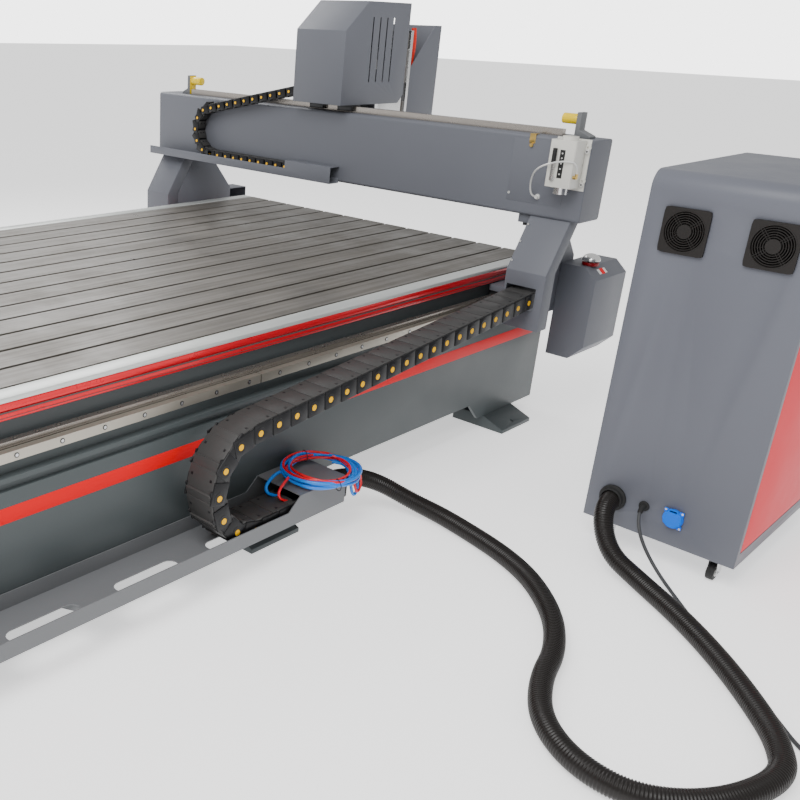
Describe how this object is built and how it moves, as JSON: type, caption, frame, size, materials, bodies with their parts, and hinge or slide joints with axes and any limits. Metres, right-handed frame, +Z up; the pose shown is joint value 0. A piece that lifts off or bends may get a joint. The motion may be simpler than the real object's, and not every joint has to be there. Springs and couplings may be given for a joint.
{
  "type": "cnc router",
  "caption": "Gantry router with a slotted table, rack-driven gantry, spindle head, cable chains, oil pump and a wheeled control cabinet on a conduit hose.",
  "frame": {"origin": "centre of the footprint of the bed, gantry and cabinet, on the floor", "axes": "+X from the bed to the cabinet, +Y along the bed to the end where the gantry parks, +Z up"},
  "size_m": [3.5424, 3.469, 1.48],
  "materials": {
    "bed_paint": "dark greenish grey baked paint",
    "machine_paint": "blue-grey textured paint",
    "cabinet_paint": "blue-grey textured paint",
    "red_paint": "gloss red paint",
    "coral_panel": "satin red panel",
    "red_anodised": "red anodised extrusion",
    "table_metal": "worn extruded strip",
    "bright_strip": "bright extruded edge",
    "rail_steel": "ground steel",
    "rack_steel": "machined steel",
    "block_steel": "steel bearing block",
    "machined_plate": "machined plate",
    "chain_plastic": "black nylon",
    "motor_black": "black motor",
    "spindle_steel": "ground steel body",
    "bumper_yellow": "yellow bumper on a steel foot",
    "pump_cream": "cream reservoir",
    "chrome_lever": "polished lever",
    "stop_base": "red collar",
    "stop_head": "wrapped button head",
    "fan_black": "black fan frame",
    "socket_blue": "blue socket",
    "gland_black": "black gland",
    "hose_black": "ribbed black conduit",
    "cable_grey": "grey cable sheath",
    "plug_black": "black plug",
    "tube_blue": "blue and red air tube",
    "caster_steel": "zinc plated fork",
    "wheel_black": "black wheel"
  },
  "bodies": {
    "frame": {"side_frames": "bed_paint", "table_base": "bed_paint", "table_strips": "table_metal", "table_edge_strips": "bright_strip", "edge_profiles": "red_anodised", "end_covers": "red_paint", "y_rails": "rail_steel", "y_racks": "rack_steel", "chain_tray": "machine_paint", "long_chain_tray_run": "chain_plastic", "tube_coil": "tube_blue", "conduit_hose": "hose_black", "mains_cable": "cable_grey", "mains_plug": "plug_black", "cabinet_shell": "cabinet_paint", "cable_glands": "gland_black", "power_socket": "socket_blue", "fan_guards": "fan_black"},
    "gantry": {"gantry_beam": "machine_paint", "gantry_legs": "machine_paint", "leg_covers": "machine_paint", "motor_housings": "machine_paint", "y_motors": "motor_black", "y_bearing_blocks": "block_steel", "x_rails": "rail_steel", "travel_bumpers": "bumper_yellow", "beam_chain_tray": "machine_paint", "oil_pump_body": "pump_cream", "stop_button_base": "stop_base", "short_chain_tray_run": "chain_plastic", "long_chain_top_run": "chain_plastic"},
    "long_bend": {"long_chain_bend": "chain_plastic"},
    "y_pinions": {"y_pinions": "rack_steel"},
    "stop_button": {"stop_button": "stop_head"},
    "pump_lever": {"oil_pump_lever": "chrome_lever"},
    "carriage": {"x_carriage": "machined_plate", "head_bearing_blocks": "block_steel", "head_hood": "machine_paint", "head_motors": "motor_black", "short_chain_top_run": "chain_plastic"},
    "short_bend": {"short_chain_bend": "chain_plastic"},
    "x_pinion": {"x_pinion": "rack_steel"},
    "z_screw": {"z_screw": "rail_steel"},
    "z_slide": {"z_plate": "machined_plate", "z_rails": "rail_steel", "spindle_casing": "machine_paint", "spindle": "spindle_steel"},
    "collet": {"collet_nut": "block_steel"},
    "door": {"cabinet_door": "coral_panel"},
    "socket_lid": {"socket_lid": "socket_blue"},
    "fan_left": {"fan_rotor_left": "fan_black"},
    "fan_right": {"fan_rotor_right": "fan_black"},
    "swivel_front_left": {"caster_fork_front_left": "caster_steel"},
    "wheel_front_left": {"caster_wheel_front_left": "wheel_black"},
    "swivel_front_right": {"caster_fork_front_right": "caster_steel"},
    "wheel_front_right": {"caster_wheel_front_right": "wheel_black"},
    "swivel_rear_left": {"caster_fork_rear_left": "caster_steel"},
    "wheel_rear_left": {"caster_wheel_rear_left": "wheel_black"},
    "swivel_rear_right": {"caster_fork_rear_right": "caster_steel"},
    "wheel_rear_right": {"caster_wheel_rear_right": "wheel_black"}
  },
  "joints": [
    {"name": "gantry_slide", "type": "slide", "parent": "frame", "child": "gantry", "axis": [0, 1, 0], "range_m": [-2.475, 0.025], "deforming": ["long_chain_top_run", "long_chain_tray_run"]},
    {"name": "long_chain_follow", "type": "slide", "parent": "frame", "child": "long_bend", "axis": [0, 1, 0], "range_m": [-1.2376, 0.0126]},
    {"name": "y_pinion_spin", "type": "hinge", "parent": "gantry", "child": "y_pinions", "pos_m": [-0.43675, 1.4135, 0.4597], "axis": [1, 0, 0], "continuous": true},
    {"name": "carriage_slide", "type": "slide", "parent": "gantry", "child": "carriage", "axis": [1, 0, 0], "range_m": [-0.64, 0.81], "deforming": ["short_chain_top_run", "short_chain_tray_run"]},
    {"name": "short_chain_follow", "type": "slide", "parent": "gantry", "child": "short_bend", "axis": [1, 0, 0], "range_m": [-0.3201, 0.4051]},
    {"name": "x_pinion_spin", "type": "hinge", "parent": "carriage", "child": "x_pinion", "pos_m": [-0.56875, 1.1505, 0.9137], "axis": [0, 1, 0], "continuous": true},
    {"name": "spindle_lift", "type": "slide", "parent": "carriage", "child": "z_slide", "axis": [0, 0, 1], "range_m": [-0.2, 0]},
    {"name": "z_screw_spin", "type": "hinge", "parent": "carriage", "child": "z_screw", "pos_m": [-0.49875, 1.4365, 1], "axis": [0, 0, 1], "continuous": true},
    {"name": "collet_spin", "type": "hinge", "parent": "z_slide", "child": "collet", "pos_m": [-0.49875, 1.6385, 0.83], "axis": [0, 0, 1], "continuous": true},
    {"name": "door_swing", "type": "hinge", "parent": "frame", "child": "door", "pos_m": [1.50975, 1.2865, 0.275], "axis": [0, 0, 1], "range_deg": [0, 110]},
    {"name": "socket_lid_swing", "type": "hinge", "parent": "frame", "child": "socket_lid", "pos_m": [1.32525, 0.594, 0.1885], "axis": [-1, 0, 0], "range_deg": [0, 110], "stiffness_Nm_per_rad": 0.02},
    {"name": "fan_left_spin", "type": "hinge", "parent": "frame", "child": "fan_left", "pos_m": [1.18225, 0.6065, 0.937], "axis": [0, 1, 0], "continuous": true},
    {"name": "fan_right_spin", "type": "hinge", "parent": "frame", "child": "fan_right", "pos_m": [1.39625, 0.6065, 0.937], "axis": [0, 1, 0], "continuous": true},
    {"name": "stop_button_press", "type": "slide", "parent": "gantry", "child": "stop_button", "axis": [0, 0, -1], "range_m": [0, 0.004]},
    {"name": "pump_lever_pull", "type": "hinge", "parent": "gantry", "child": "pump_lever", "pos_m": [0.55525, 1.0705, 0.953], "axis": [0, 1, 0], "range_deg": [-20, 50], "stiffness_Nm_per_rad": 1},
    {"name": "swivel_front_left", "type": "hinge", "parent": "frame", "child": "swivel_front_left", "pos_m": [1.13425, 0.6685, 0.075], "axis": [0, 0, 1], "continuous": true},
    {"name": "roll_front_left", "type": "hinge", "parent": "swivel_front_left", "child": "wheel_front_left", "pos_m": [1.13425, 0.6525, 0.025], "axis": [1, 0, 0], "continuous": true},
    {"name": "swivel_front_right", "type": "hinge", "parent": "frame", "child": "swivel_front_right", "pos_m": [1.44425, 0.6685, 0.075], "axis": [0, 0, 1], "continuous": true},
    {"name": "roll_front_right", "type": "hinge", "parent": "swivel_front_right", "child": "wheel_front_right", "pos_m": [1.44425, 0.6525, 0.025], "axis": [1, 0, 0], "continuous": true},
    {"name": "swivel_rear_left", "type": "hinge", "parent": "frame", "child": "swivel_rear_left", "pos_m": [1.13425, 1.2445, 0.075], "axis": [0, 0, 1], "continuous": true},
    {"name": "roll_rear_left", "type": "hinge", "parent": "swivel_rear_left", "child": "wheel_rear_left", "pos_m": [1.13425, 1.2285, 0.025], "axis": [1, 0, 0], "continuous": true},
    {"name": "swivel_rear_right", "type": "hinge", "parent": "frame", "child": "swivel_rear_right", "pos_m": [1.44425, 1.2445, 0.075], "axis": [0, 0, 1], "continuous": true},
    {"name": "roll_rear_right", "type": "hinge", "parent": "swivel_rear_right", "child": "wheel_rear_right", "pos_m": [1.44425, 1.2285, 0.025], "axis": [1, 0, 0], "continuous": true}
  ],
  "couplings": [
    {"joint": "long_chain_follow", "follows": "gantry_slide", "ratio": 0.5},
    {"joint": "y_pinion_spin", "follows": "gantry_slide", "rad_per_m": 83.333},
    {"joint": "short_chain_follow", "follows": "carriage_slide", "ratio": 0.5},
    {"joint": "x_pinion_spin", "follows": "carriage_slide", "rad_per_m": -83.333},
    {"joint": "z_screw_spin", "follows": "spindle_lift", "rad_per_m": 628.32}
  ]
}
